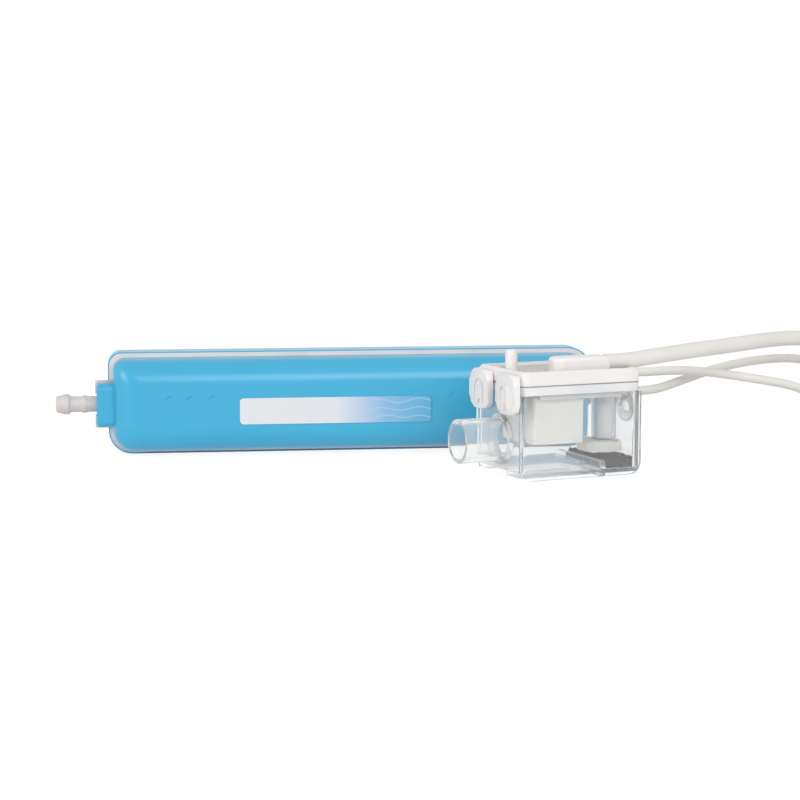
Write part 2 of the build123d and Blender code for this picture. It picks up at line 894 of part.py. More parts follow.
with BuildPart() as float_block:
    with BuildSketch(level(float_bottom)):
        with Locations((stem_x, stem_y)):
            RectangleRounded(float_width, float_length, float_corner)
            Circle(stem_radius + running_clearance, mode=Mode.SUBTRACT)
    extrude(amount=float_height)
    with BuildSketch(level(float_bottom + float_height)):
        with Locations((stem_x, stem_y)):
            Circle(magnet_radius)
    extrude(amount=-magnet_height, mode=Mode.SUBTRACT)
finish(float_block, "float")

with BuildPart() as float_magnet:
    with BuildSketch(level(float_bottom + float_height - magnet_height)):
        with Locations((stem_x, stem_y)):
            Circle(magnet_radius)
            Circle(stem_radius + running_clearance, mode=Mode.SUBTRACT)
    extrude(amount=magnet_height)
finish(float_magnet, "float_magnet")

# ---------------------------------------------------------------- pick-up tube and foot
with BuildPart() as pickup_tube:
    with BuildSketch(level(foot_bottom + foot_height)):
        with Locations((pickup_x, pickup_y)):
            Circle(pickup_radius)
            Circle(pickup_bore_radius, mode=Mode.SUBTRACT)
    extrude(amount=lid_underside - foot_bottom - foot_height)
finish(pickup_tube, "pickup_tube")

with BuildPart() as pickup_foot:
    with BuildSketch(level(foot_bottom)):
        with Locations((pickup_x - foot_offset, pickup_y)):
            RectangleRounded(foot_width, foot_width, foot_corner)
    extrude(amount=foot_height)
    fillet(pickup_foot.faces().sort_by(Axis.Z)[-1].edges(), foot_edge)
    with BuildSketch(level(foot_bottom)):
        with Locations((pickup_x, pickup_y)):
            Circle(pickup_bore_radius)
    extrude(amount=foot_height, mode=Mode.SUBTRACT)
finish(pickup_foot, "pickup_foot")

# ---------------------------------------------------------------- leads
sensor_exit = tank_frame.from_local_coords((sensor_x + sensor_length, sensor_mid_y, lead_z))
sensor_coil_top = sensor_coil_layers * sensor_lead_diameter
sensor_route = [
    sensor_exit,
    sensor_exit + tank_frame.x_dir * 9,
    Vector(104, -63.9, 41.2),
    Vector(120, -55.5, 42.3),
    Vector(139.3, -43, 42.9),
    Vector(157, -30.6, 43.7),
    Vector(173.3, -19.5, 43.4),
    Vector(191, -11, 41.5),
    Vector(209, -11, 34),
    Vector(225, -19, 22.5),
    Vector(234, -34.5, 13.5),
    Vector(sensor_coil_x + sensor_coil_radius, sensor_coil_y, sensor_coil_top - sensor_lead_diameter / 2),
]
thin_coil_height = thin_coil_layers * thin_lead_diameter
alarm_route = [
    Vector(body_right + gland_length, gland_y, alarm_gland_height),
    Vector(body_right + gland_length + 6, gland_y, alarm_gland_height),
    Vector(125, -16, 30.9),
    Vector(138, -19.2, 30.3),
    Vector(153, -22.6, 28.2),
    Vector(171.5, -23.8, 25),
    Vector(181, -20.3, 19.8),
    Vector(187, -12, 12.8),
    Vector(190.5, -1, 7.4),
    Vector(193, 11, 5.3),
    Vector(thin_coil_x - thin_coil_radius, thin_coil_y, thin_coil_height / 2),
]
power_route = [
    Vector(body_right + gland_length, gland_y, power_gland_height),
    Vector(body_right + gland_length + 7, gland_y, power_gland_height),
    Vector(127, -11.2, 25.4),
    Vector(142, -6.5, 29.8),
    Vector(160, -1.5, 32.8),
    Vector(180.8, 3, 33.5),
    Vector(197, 6, 28),
    Vector(thin_coil_x, thin_coil_y - thin_coil_radius, 2 * thin_coil_height - thin_lead_diameter / 2),
]


def lead_tube(route, diameter, name):
    """Lead along straight runs joined by arcs as large as the runs allow."""
    radii = []
    for before, corner, after in zip(route, route[1:], route[2:]):
        run_in = corner - before
        run_out = after - corner
        half_turn = radians(run_in.get_angle(run_out) / 2)
        radii.append(0.45 * min(run_in.length, run_out.length) / tan(half_turn))
    with BuildPart() as tube:
        with BuildLine() as path:
            FilletPolyline(*route, radius=radii)
        centreline = path.wire()
        with BuildSketch(Plane(centreline @ 0, z_dir=centreline % 0)):
            Circle(diameter / 2)
        sweep(path=centreline)
    plain_volume = centreline.length * pi * diameter ** 2 / 4
    print(name, "length", round(centreline.length, 1), "radii", [round(r) for r in radii],
          "volume ratio", round(tube.part.volume / plain_volume, 4))
    finish(tube, name)


def lead_coil(x, y, bottom, mean_radius, across, layers, diameter, name):
    """Outer shape of a round coil of turns that lie side by side in layers."""
    with BuildPart() as coil:
        with BuildSketch(Plane.XY.offset(bottom)):
            with Locations((x, y)):
                Circle(mean_radius + across * diameter / 2)
                Circle(mean_radius - across * diameter / 2, mode=Mode.SUBTRACT)
        extrude(amount=layers * diameter)
    finish(coil, name)


lead_tube(sensor_route, sensor_lead_diameter, "sensor_lead")
lead_coil(sensor_coil_x, sensor_coil_y, 0, sensor_coil_radius, sensor_coil_across,
          sensor_coil_layers, sensor_lead_diameter, "sensor_lead_coil")
lead_tube(alarm_route, thin_lead_diameter, "alarm_lead")
lead_coil(thin_coil_x, thin_coil_y, 0, thin_coil_radius, thin_coil_across,
          thin_coil_layers, thin_lead_diameter, "alarm_lead_coil")
lead_tube(power_route, thin_lead_diameter, "power_lead")
lead_coil(thin_coil_x, thin_coil_y, thin_coil_height, thin_coil_radius, thin_coil_across,
          thin_coil_layers, thin_lead_diameter, "power_lead_coil")

# plug on the end of the sensor lead, lying beside its coil
tail_reach = sensor_coil_radius + sensor_lead_diameter
coil_outer = sensor_coil_radius + sensor_coil_across * sensor_lead_diameter / 2
tail_y = sensor_coil_y - tail_reach
tail_x = sensor_coil_x - (coil_outer ** 2 - tail_reach ** 2) ** 0.5
tail_end_x = tail_x - tail_length
with BuildPart() as sensor_lead_tail:
    with BuildSketch(across(tail_x)):
        with Locations((tail_y, sensor_lead_diameter / 2)):
            Circle(sensor_lead_diameter / 2)
    extrude(amount=-tail_length)
finish(sensor_lead_tail, "sensor_lead_tail")

with BuildPart() as sensor_plug:
    with BuildSketch(Plane.XY):
        with Locations((tail_end_x, tail_y)):
            Rectangle(plug_body_length, plug_body_width, align=(Align.MAX, Align.CENTER))
    extrude(amount=plug_body_height)
    fillet(sensor_plug.edges().filter_by(Axis.X), 1.2)
finish(sensor_plug, "sensor_plug")
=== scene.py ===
from math import cos, pi, radians, sin

import bmesh
import bpy
from mathutils import Matrix, Vector, noise


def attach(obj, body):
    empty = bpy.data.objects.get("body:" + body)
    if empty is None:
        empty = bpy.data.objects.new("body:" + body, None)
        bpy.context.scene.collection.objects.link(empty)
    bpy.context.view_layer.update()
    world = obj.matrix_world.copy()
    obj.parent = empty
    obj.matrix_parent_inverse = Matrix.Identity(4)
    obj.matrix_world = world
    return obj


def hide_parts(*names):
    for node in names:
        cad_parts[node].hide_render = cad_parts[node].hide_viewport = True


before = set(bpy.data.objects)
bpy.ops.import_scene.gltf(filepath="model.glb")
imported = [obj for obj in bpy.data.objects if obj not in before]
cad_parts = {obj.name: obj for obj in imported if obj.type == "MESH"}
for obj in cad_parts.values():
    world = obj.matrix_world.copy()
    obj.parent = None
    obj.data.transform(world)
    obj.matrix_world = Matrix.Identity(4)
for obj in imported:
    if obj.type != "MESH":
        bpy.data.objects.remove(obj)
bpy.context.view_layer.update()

scene = bpy.context.scene

# ------------------------------------------------------------ casing, front half
# The front half of the pod: a blown-looking ABS moulding in glossy sky blue, with a
# straight band at the seam and a curve that runs into the flat front. Screwless, snapped
# on the rear half over the seal, with one square boss at the left for the outlet.
mm = 0.001
body_length = 189.2 * mm
body_height = 39.3 * mm
axis_height = 19.65 * mm
seam_front = -6.4 * mm
front_face = -21.0 * mm
curve_depth = 9.0 * mm
front_inset = 1.9 * mm
curve_inset = 9.7 * mm
corner_radii = (10.0 * mm, 10.0 * mm, 5.0 * mm, 9.0 * mm)
shell_wall = 1.8 * mm


def blue_casing():
    """Glossy sky-blue ABS with a faint mould ripple, flow mottling and fine rub marks."""
    material = bpy.data.materials.new("casing_blue_gloss")
    material.use_nodes = True
    nodes, links = material.node_tree.nodes, material.node_tree.links
    skin = nodes["Principled BSDF"]
    skin.inputs["Roughness"].default_value = 0.3
    skin.inputs["Coat Weight"].default_value = 0.2
    skin.inputs["Coat Roughness"].default_value = 0.15
    skin.inputs["Specular IOR Level"].default_value = 0.45
    place = nodes.new("ShaderNodeTexCoord")
    flow = nodes.new("ShaderNodeTexNoise")
    flow.inputs["Scale"].default_value = 14.0
    flow.inputs["Detail"].default_value = 4.0
    tone = nodes.new("ShaderNodeValToRGB")
    tone.color_ramp.elements[0].position = 0.3
    tone.color_ramp.elements[0].color = (0.036, 0.375, 0.60, 1)
    tone.color_ramp.elements[1].position = 0.75
    tone.color_ramp.elements[1].color = (0.046, 0.415, 0.65, 1)
    links.new(place.outputs["Object"], flow.inputs["Vector"])
    links.new(flow.outputs["Fac"], tone.inputs["Fac"])
    links.new(tone.outputs["Color"], skin.inputs["Base Color"])
    # handling marks: a broad soft noise that dulls the gloss a little in patches
    rubs = nodes.new("ShaderNodeTexNoise")
    rubs.inputs["Scale"].default_value = 32.0
    rubs.inputs["Detail"].default_value = 6.0
    dulled = nodes.new("ShaderNodeMapRange")
    dulled.inputs["From Min"].default_value = 0.4
    dulled.inputs["From Max"].default_value = 0.75
    dulled.inputs["To Min"].default_value = 0.29
    dulled.inputs["To Max"].default_value = 0.33
    links.new(place.outputs["Object"], rubs.inputs["Vector"])
    links.new(rubs.outputs["Fac"], dulled.inputs["Value"])
    links.new(dulled.outputs["Result"], skin.inputs["Roughness"])
    ripple = nodes.new("ShaderNodeTexNoise")
    ripple.inputs["Scale"].default_value = 120.0
    ripple.inputs["Detail"].default_value = 1.0
    bump = nodes.new("ShaderNodeBump")
    bump.inputs["Strength"].default_value = 0.03
    bump.inputs["Distance"].default_value = 0.0003
    links.new(place.outputs["Object"], ripple.inputs["Vector"])
    links.new(ripple.outputs["Fac"], bump.inputs["Height"])
    links.new(bump.outputs["Normal"], skin.inputs["Normal"])
    return material


casing_blue = blue_casing()


def pod_ring(depth, inset, arc_steps=10, side_steps=(40, 8)):
    """Points of the pod's rounded outline at one depth, smaller by inset all round."""
    half_x, half_z = body_length / 2 - inset, body_height / 2 - inset
    share = half_z / (body_height / 2)
    points = []
    corners = ((1, 1, 0), (-1, 1, 90), (-1, -1, 180), (1, -1, 270))
    radii = (corner_radii[0], corner_radii[2], corner_radii[3], corner_radii[1])
    for (way_x, way_z, start), radius in zip(corners, radii):
        radius *= share
        centre_x = way_x * (half_x - radius)
        centre_z = axis_height + way_z * (half_z - radius)
        for step in range(arc_steps + 1):
            angle = radians(start + 90 * step / arc_steps)
            points.append(Vector((centre_x + radius * cos(angle), depth, centre_z + radius * sin(angle))))
    ring = []
    for number, (here, there) in enumerate(zip(points, points[1:] + points[:1])):
        ring.append(here)
        if number % (arc_steps + 1) == arc_steps:
            spans = side_steps[(number // (arc_steps + 1)) % 2]
            ring += [here.lerp(there, step / spans) for step in range(1, spans)]
    return ring


def loft_rings(form, rings):
    """Quad skin through rings of equally many points; returns the rows of vertices."""
    rows = [[form.verts.new(point) for point in ring] for ring in rings]
    for row, after in zip(rows, rows[1:]):
        for a, b, c, d in zip(row, row[1:] + row[:1], after[1:] + after[:1], after):
            form.faces.new((a, b, c, d))
    return rows


def set_shading(mesh, sharp_angle=32.0):
    """Smooth faces, with edges left sharp where the turn is over the given angle."""
    form = bmesh.new()
    form.from_mesh(mesh)
    for face in form.faces:
        face.smooth = True
    for edge in form.edges:
        edge.smooth = len(edge.link_faces) == 2 and edge.calc_face_angle(0) < radians(sharp_angle)
    form.to_mesh(mesh)
    form.free()


def weigh_normals(piece):
    """Lets the large faces of a piece set the normals, so that flats stay flat."""
    weigh = piece.modifiers.new("weigh", "WEIGHTED_NORMAL")
    weigh.keep_sharp = True
    weigh.weight = 100


def add_piece(name, mesh, body, material, stands_for=()):
    """Puts a finished mesh in the scene, on its body and with its finish."""
    piece = bpy.data.objects.new(name, mesh)
    scene.collection.objects.link(piece)
    mesh.materials.clear()
    mesh.materials.append(material)
    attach(piece, body)
    if stands_for:
        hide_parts(*stands_for)
    return piece


def box_form(form, low, high, radius, along, segments=5):
    """Block from low to high with the four edges along one axis rounded."""
    middle, size = (low + high) / 2, high - low
    made = bmesh.ops.create_cube(form, size=1.0, matrix=Matrix.Translation(middle) @ Matrix.Diagonal((*size, 1)))
    edges = {e for v in made["verts"] for e in v.link_edges}
    chosen = [e for e in edges if abs((e.verts[0].co - e.verts[1].co).normalized()[along]) > 0.9]
    bmesh.ops.bevel(form, geom=chosen, offset=radius, segments=segments, profile=0.5, affect="EDGES")


def cut_form(mesh, cutter_form, operation):
    """Applies one Boolean to a mesh and gives the new mesh."""
    cutter_mesh = bpy.data.meshes.new("cutter")
    bmesh.ops.recalc_face_normals(cutter_form, faces=cutter_form.faces)
    cutter_form.to_mesh(cutter_mesh)
    cutter_form.free()
    base = bpy.data.objects.new("base", mesh)
    tool = bpy.data.objects.new("tool", cutter_mesh)
    scene.collection.objects.link(base)
    scene.collection.objects.link(tool)
    cut = base.modifiers.new("cut", "BOOLEAN")
    cut.operation = operation
    cut.solver = "EXACT"
    cut.object = tool
    result = bpy.data.meshes.new_from_object(base.evaluated_get(bpy.context.evaluated_depsgraph_get()))
    bpy.data.objects.remove(base)
    bpy.data.objects.remove(tool)
    return result


pod = bmesh.new()
curve_steps = 14
outer, inner = [], []
for step in range(curve_steps + 1):
    turn = radians(90 * step / curve_steps)
    depth = front_face + curve_depth - curve_depth * sin(turn)
    outer.append(pod_ring(depth, front_inset + curve_inset * (1 - cos(turn))))
    inner.append(pod_ring(depth + shell_wall, front_inset + shell_wall + curve_inset * (1 - cos(turn))))
outer.insert(0, pod_ring(seam_front, front_inset))
inner.insert(0, pod_ring(seam_front, front_inset + shell_wall))
rows = loft_rings(pod, inner[::-1] + outer)
pod.faces.new(rows[0][::-1])
pod.faces.new(rows[-1])
bmesh.ops.recalc_face_normals(pod, faces=pod.faces)
pod_mesh = bpy.data.meshes.new("pod_front")
pod.to_mesh(pod_mesh)
pod.free()
boss_left = -98.9 * mm
boss_half = Vector((0, 8.0 * mm, 8.4 * mm))
boss = bmesh.new()
box_form(
    boss,
    Vector((boss_left, -13.7 * mm, axis_height - boss_half.z)),
    Vector((-90.6 * mm, seam_front, axis_height + boss_half.z)),
    2.6 * mm,
    0,
)
end_edges = [e for e in boss.edges if all(abs(v.co.x - boss_left) < 1e-6 for v in e.verts)]
bmesh.ops.bevel(boss, geom=end_edges, offset=1.1 * mm, segments=4, profile=0.5, affect="EDGES")
pod_mesh = cut_form(pod_mesh, boss, "UNION")
set_shading(pod_mesh)
pod_front = add_piece("pod_front", pod_mesh, "pump_and_tank", casing_blue, ["front_shell"])
weigh_normals(pod_front)

# ------------------------------------------------------------ snap marks on the casing
# Five small slanting ticks stand 0.05 mm proud of the front face, where the mould's snap
# cores sit behind it. Their shading is painted: they take a darker copy of the casing blue.
ticks = bmesh.new()
tick_height = 23.4 * mm
for tick_x in (-72.0, -64.0, -55.8, 36.0, 44.5):
    arm = Matrix.Translation((tick_x * mm, front_face, tick_height)) @ Matrix.Rotation(radians(-32), 4, "Y")
    bmesh.ops.create_icosphere(ticks, subdivisions=3, radius=1.0, matrix=arm @ Matrix.Diagonal((1.7 * mm, 0.05 * mm, 0.22 * mm, 1)))
tick_mesh = bpy.data.meshes.new("snap_marks")
ticks.to_mesh(tick_mesh)
ticks.free()
set_shading(tick_mesh, 80)
# painted shade: the ticks get a darker copy of the casing blue, standing in for their shading
painted_shade_tick_blue = casing_blue.copy()
painted_shade_tick_blue.name = "casing_blue_tick_painted_shade"
painted_shade_tick_blue.node_tree.nodes["Color Ramp"].color_ramp.elements[0].color = (0.03, 0.25, 0.42, 1)
painted_shade_tick_blue.node_tree.nodes["Color Ramp"].color_ramp.elements[1].color = (0.04, 0.31, 0.5, 1)
add_piece("snap_marks", tick_mesh, "pump_and_tank", painted_shade_tick_blue)

# ------------------------------------------------------------ the other rigid mouldings
# Each rigid piece below is the CAD skin, merged and with its sharp edges rounded to the
# small radius that its mould leaves. The function here does that for all of them.


def moulding(name, node, body, material, edge, segments=3, sharp=32.0):
    """A CAD node's own form with its edges rounded, in the finish given."""
    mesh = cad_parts[node].data.copy()
    form = bmesh.new()
    form.from_mesh(mesh)
    bmesh.ops.remove_doubles(form, verts=form.verts, dist=3e-6)
    bmesh.ops.dissolve_limit(form, angle_limit=radians(0.6), verts=form.verts, edges=form.edges)
    form.to_mesh(mesh)
    form.free()
    if edge:
        blank = bpy.data.objects.new("blank", mesh)
        scene.collection.objects.link(blank)
        rounding = blank.modifiers.new("rounding", "BEVEL")
        rounding.limit_method = "ANGLE"
        rounding.angle_limit = radians(30)
        rounding.width = edge
        rounding.segments = segments
        rounding.use_clamp_overlap = True
        mesh = bpy.data.meshes.new_from_object(
            blank.evaluated_get(bpy.context.evaluated_depsgraph_get())
        )
        bpy.data.objects.remove(blank)
    mesh.name = name
    set_shading(mesh, sharp)
    piece = add_piece(name, mesh, body, material, [node])
    weigh_normals(piece)
    return piece


def plain_plastic(name, dark, light, roughness, coat=0.0, haze=0.0, grain=180.0, depth=0.05):
    """Moulded plastic of one colour: slow colour drift, uneven gloss and a fine skin."""
    material = bpy.data.materials.new(name)
    material.use_nodes = True
    nodes, links = material.node_tree.nodes, material.node_tree.links
    skin = nodes["Principled BSDF"]
    skin.inputs["Coat Weight"].default_value = coat
    skin.inputs["Coat Roughness"].default_value = 0.15
    skin.inputs["Subsurface Weight"].default_value = haze
    skin.inputs["Subsurface Radius"].default_value = (0.003, 0.003, 0.003)
    place = nodes.new("ShaderNodeTexCoord")
    drift = nodes.new("ShaderNodeTexNoise")
    drift.inputs["Scale"].default_value = 55.0
    drift.inputs["Detail"].default_value = 5.0
    tone = nodes.new("ShaderNodeValToRGB")
    tone.color_ramp.elements[0].position = 0.3
    tone.color_ramp.elements[0].color = (*dark, 1)
    tone.color_ramp.elements[1].position = 0.7
    tone.color_ramp.elements[1].color = (*light, 1)
    gloss = nodes.new("ShaderNodeMapRange")
    gloss.inputs["To Min"].default_value = roughness * 0.85
    gloss.inputs["To Max"].default_value = roughness * 1.15
    fine = nodes.new("ShaderNodeTexNoise")
    fine.inputs["Scale"].default_value = grain * 10
    bump = nodes.new("ShaderNodeBump")
    bump.inputs["Strength"].default_value = depth
    bump.inputs["Distance"].default_value = 0.0003
    links.new(place.outputs["Object"], drift.inputs["Vector"])
    links.new(place.outputs["Object"], fine.inputs["Vector"])
    links.new(drift.outputs["Fac"], tone.inputs["Fac"])
    links.new(tone.outputs["Color"], skin.inputs["Base Color"])
    links.new(drift.outputs["Fac"], gloss.inputs["Value"])
    links.new(gloss.outputs["Result"], skin.inputs["Roughness"])
    links.new(fine.outputs["Fac"], bump.inputs["Height"])
    links.new(bump.outputs["Normal"], skin.inputs["Normal"])
    return material


# ------------------------------------------------------------ casing, rear half and seal
# The rear half is the same blue ABS, with a 2 mm radius round its flat back. The seal is
# a pale elastomer cord squeezed between the halves, which stands 0.35 mm proud of them.
moulding("pod_rear", "rear_shell", "pump_and_tank", casing_blue, 0.3 * mm)
seal_grey = plain_plastic("seal_pale_grey", (0.60, 0.575, 0.575), (0.68, 0.655, 0.655), 0.6, haze=0.1)
seam_back = -5.0 * mm
step = bmesh.new()
box_form(
    step,
    Vector((boss_left - 0.6 * mm, seam_front, axis_height - boss_half.z - 0.7 * mm)),
    Vector((-93.0 * mm, seam_back, axis_height + boss_half.z + 0.7 * mm)),
    0.6 * mm,
    1,
)
hole = bmesh.new()
bmesh.ops.create_cone(
    hole,
    cap_ends=True,
    segments=48,
    radius1=4.1 * mm,
    radius2=4.1 * mm,
    depth=20 * mm,
    matrix=Matrix.Translation((boss_left, -5.7 * mm, axis_height)) @ Matrix.Rotation(radians(90), 4, "Y"),
)
step_mesh = bpy.data.meshes.new("boss_seal")
bmesh.ops.recalc_face_normals(step, faces=step.faces)
step.to_mesh(step_mesh)
step.free()
step_mesh = cut_form(step_mesh, hole, "DIFFERENCE")
set_shading(step_mesh)
moulding("seam_seal", "seam_gasket", "pump_and_tank", seal_grey, 0.25 * mm)
add_piece("boss_seal", step_mesh, "pump_and_tank", seal_grey)

# ------------------------------------------------------------ plate on the front
# A bare printed plate in the flat front: pale grey at its left, fading through a soft
# blue to the colour of the casing, with a few plain wave lines at the right.
plate_left = -45.0 * mm
plate_right = 28.2 * mm
plate_film = bpy.data.materials.new("plate_film")
plate_film.use_nodes = True
nodes, links = plate_film.node_tree.nodes, plate_film.node_tree.links
skin = nodes["Principled BSDF"]
skin.inputs["Roughness"].default_value = 0.38
skin.inputs["Coat Weight"].default_value = 0.2
place = nodes.new("ShaderNodeTexCoord")
split = nodes.new("ShaderNodeSeparateXYZ")
across = nodes.new("ShaderNodeMapRange")
across.inputs["From Min"].default_value = plate_left
across.inputs["From Max"].default_value = plate_right
fade = nodes.new("ShaderNodeValToRGB")
stops = ((0.0, (0.70, 0.70, 0.71)), (0.5, (0.69, 0.70, 0.73)), (0.76, (0.24, 0.46, 0.70)), (1.0, (0.10, 0.42, 0.66)))
fade.color_ramp.elements[0].color = (*stops[0][1], 1)
fade.color_ramp.elements[1].color = (*stops[3][1], 1)
for position, colour in stops[1:3]:
    fade.color_ramp.elements.new(position).color = (*colour, 1)
wave = nodes.new("ShaderNodeTexWave")
wave.bands_direction = "Z"
wave.inputs["Scale"].default_value = 95.0
wave.inputs["Distortion"].default_value = 5.0
wave.inputs["Detail"].default_value = 0.0
wave.inputs["Detail Scale"].default_value = 1.0
thin = nodes.new("ShaderNodeMapRange")
thin.inputs["From Min"].default_value = 0.93
thin.inputs["From Max"].default_value = 0.98
reach = nodes.new("ShaderNodeMapRange")
reach.inputs["From Min"].default_value = 0.6
reach.inputs["From Max"].default_value = 0.78
reach.inputs["To Max"].default_value = 0.5
both = nodes.new("ShaderNodeMath")
both.operation = "MULTIPLY"
ink = nodes.new("ShaderNodeMix")
ink.data_type = "RGBA"
ink.inputs["B"].default_value = (0.45, 0.68, 0.9, 1)
links.new(place.outputs["Object"], split.inputs["Vector"])
links.new(split.outputs["X"], across.inputs["Value"])
links.new(across.outputs["Result"], fade.inputs["Fac"])
links.new(place.outputs["Object"], wave.inputs["Vector"])
links.new(wave.outputs["Fac"], thin.inputs["Value"])
links.new(across.outputs["Result"], reach.inputs["Value"])
links.new(thin.outputs["Result"], both.inputs[0])
links.new(reach.outputs["Result"], both.inputs[1])
links.new(both.outputs["Value"], ink.inputs["Factor"])
links.new(fade.outputs["Color"], ink.inputs["A"])
links.new(ink.outputs["Result"], skin.inputs["Base Color"])
moulding("front_plate", "label_plate", "pump_and_tank", plate_film, 0.12 * mm)

# ------------------------------------------------------------ mounting pad
# A strip of black closed-cell foam with adhesive on the flat back, so that the pump's hum
# stays off the wall it is fixed to.
foam_black = plain_plastic("pad_foam", (0.012, 0.012, 0.013), (0.03, 0.03, 0.032), 0.85, grain=90, depth=0.5)
moulding("back_pad", "mounting_pad", "pump_and_tank", foam_black, 0.35 * mm)

# ------------------------------------------------------------ hose barbs
# Two hose tails of off-white nylon on the pump's axis; the outlet tail is turned here from
# its profile, with a rounded nose, one sharp-backed ridge and a low ripple near the boss.
# The inlet tail is its CAD form with the edges rounded.
barb_white = plain_plastic("barb_nylon", (0.53, 0.49, 0.47), (0.62, 0.58, 0.56), 0.42, haze=0.2)
barb_reach = 15.5 * mm
barb_bore = 1.8 * mm
barb_profile = (
    (0.0, 2.2), (0.05, 2.75), (0.35, 3.1), (0.9, 3.22), (1.5, 3.3), (2.3, 3.62), (3.2, 3.84),
    (4.2, 3.9), (4.75, 3.86), (5.15, 3.6), (5.45, 3.2), (5.75, 3.05), (8.2, 3.03), (9.3, 3.03),
    (9.9, 3.18), (10.4, 3.33), (10.9, 3.35), (11.4, 3.3), (11.9, 3.1), (12.4, 3.03),
    (15.5, 3.03), (15.52, 4.0), (23.5, 4.0), (23.52, 5.5), (25.5, 5.5), (25.52, 1.8),
)


def hose_tail(name, node, root, way):
    """Hose tail turned round the pump's axis from its profile, bore first."""
    form = bmesh.new()
    around = 64
    profile = [(0.0, barb_bore / mm + 0.15), *barb_profile]
    rings = []
    for reach, radius in profile:
        along = root + way * (barb_reach - reach * mm)
        rings.append([
            Vector((along, -5.7 * mm + radius * mm * cos(2 * pi * step / around), axis_height + radius * mm * sin(2 * pi * step / around)))
            for step in range(around)
        ])
    bore = [Vector((rings[0][0].x + way * -0.3 * mm, *point.yz)) for point in rings[-1]]
    rings.append(bore)
    rows = loft_rings(form, rings)
    for a, b, c, d in zip(rows[-1], rows[-1][1:] + rows[-1][:1], rows[0][1:] + rows[0][:1], rows[0]):
        form.faces.new((a, b, c, d))
    bmesh.ops.recalc_face_normals(form, faces=form.faces)
    mesh = bpy.data.meshes.new(name)
    form.to_mesh(mesh)
    form.free()
    set_shading(mesh, 50)
    add_piece(name, mesh, "pump_and_tank", barb_white, [node])


hose_tail("outlet_tail", "outlet_barb", boss_left, -1)
inlet_root = 94.6 * mm
moulding("inlet_tail", "inlet_barb", "pump_and_tank", barb_white, 0.35 * mm, 4)

# ------------------------------------------------------------ pump inside the casing
# Brass sleeve, steel piston and balls, springs, wound coil in its steel yoke, rubber
# rings, the inner hose and the board: bought-in parts, which keep their CAD forms.


def metal(name, colour, roughness, streak):
    """Turned metal with fine tool marks round the pump's axis."""
    material = bpy.data.materials.new(name)
    material.use_nodes = True
    nodes, links = material.node_tree.nodes, material.node_tree.links
    skin = nodes["Principled BSDF"]
    skin.inputs["Base Color"].default_value = (*colour, 1)
    skin.inputs["Metallic"].default_value = 1.0
    place = nodes.new("ShaderNodeTexCoord")
    stretch = nodes.new("ShaderNodeMapping")
    stretch.inputs["Scale"].default_value = (streak, 20.0, 20.0)
    marks = nodes.new("ShaderNodeTexNoise")
    marks.inputs["Scale"].default_value = 1.0
    gloss = nodes.new("ShaderNodeMapRange")
    gloss.inputs["To Min"].default_value = roughness * 0.7
    gloss.inputs["To Max"].default_value = roughness * 1.4
    links.new(place.outputs["Object"], stretch.inputs["Vector"])
    links.new(stretch.outputs["Vector"], marks.inputs["Vector"])
    links.new(marks.outputs["Fac"], gloss.inputs["Value"])
    links.new(gloss.outputs["Result"], skin.inputs["Roughness"])
    return material


steel = metal("pump_steel", (0.55, 0.55, 0.57), 0.3, 2500.0)
brass = metal("sleeve_brass", (0.75, 0.56, 0.25), 0.28, 1800.0)
copper_wire = metal("winding_copper", (0.62, 0.24, 0.08), 0.35, 4200.0)
nylon = plain_plastic("bobbin_nylon", (0.62, 0.60, 0.54), (0.70, 0.68, 0.62), 0.5, haze=0.2)
black_rubber = plain_plastic("ring_rubber", (0.015, 0.015, 0.016), (0.03, 0.03, 0.03), 0.7)
silicone = plain_plastic("hose_silicone", (0.66, 0.68, 0.70), (0.74, 0.76, 0.78), 0.45, haze=0.5)
board_green = plain_plastic("board_laminate", (0.02, 0.12, 0.05), (0.03, 0.18, 0.07), 0.45)
case_black = plain_plastic("component_case", (0.02, 0.02, 0.022), (0.035, 0.035, 0.04), 0.5)
inner_finish = {
    steel: ("outlet_ball", "inlet_ball", "piston", "outlet_spring", "inlet_spring", "yoke_frame"),
    brass: ("cylinder_sleeve",),
    copper_wire: ("coil_winding",),
    nylon: ("outlet_head", "inlet_head", "coil_bobbin"),
    black_rubber: ("outlet_rubber_ring", "inlet_rubber_ring"),
    silicone: ("inner_hose",),
    board_green: ("control_board",),
    case_black: ("capacitor", "relay"),
}
for finish, names in inner_finish.items():
    for node in names:
        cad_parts[node].data.materials[0] = finish

# ------------------------------------------------------------ reservoir
# A clear polycarbonate box with 1.5 mm walls, its front and back plates run down to the
# ground. The drain spigot with its collar is welded into the left wall.


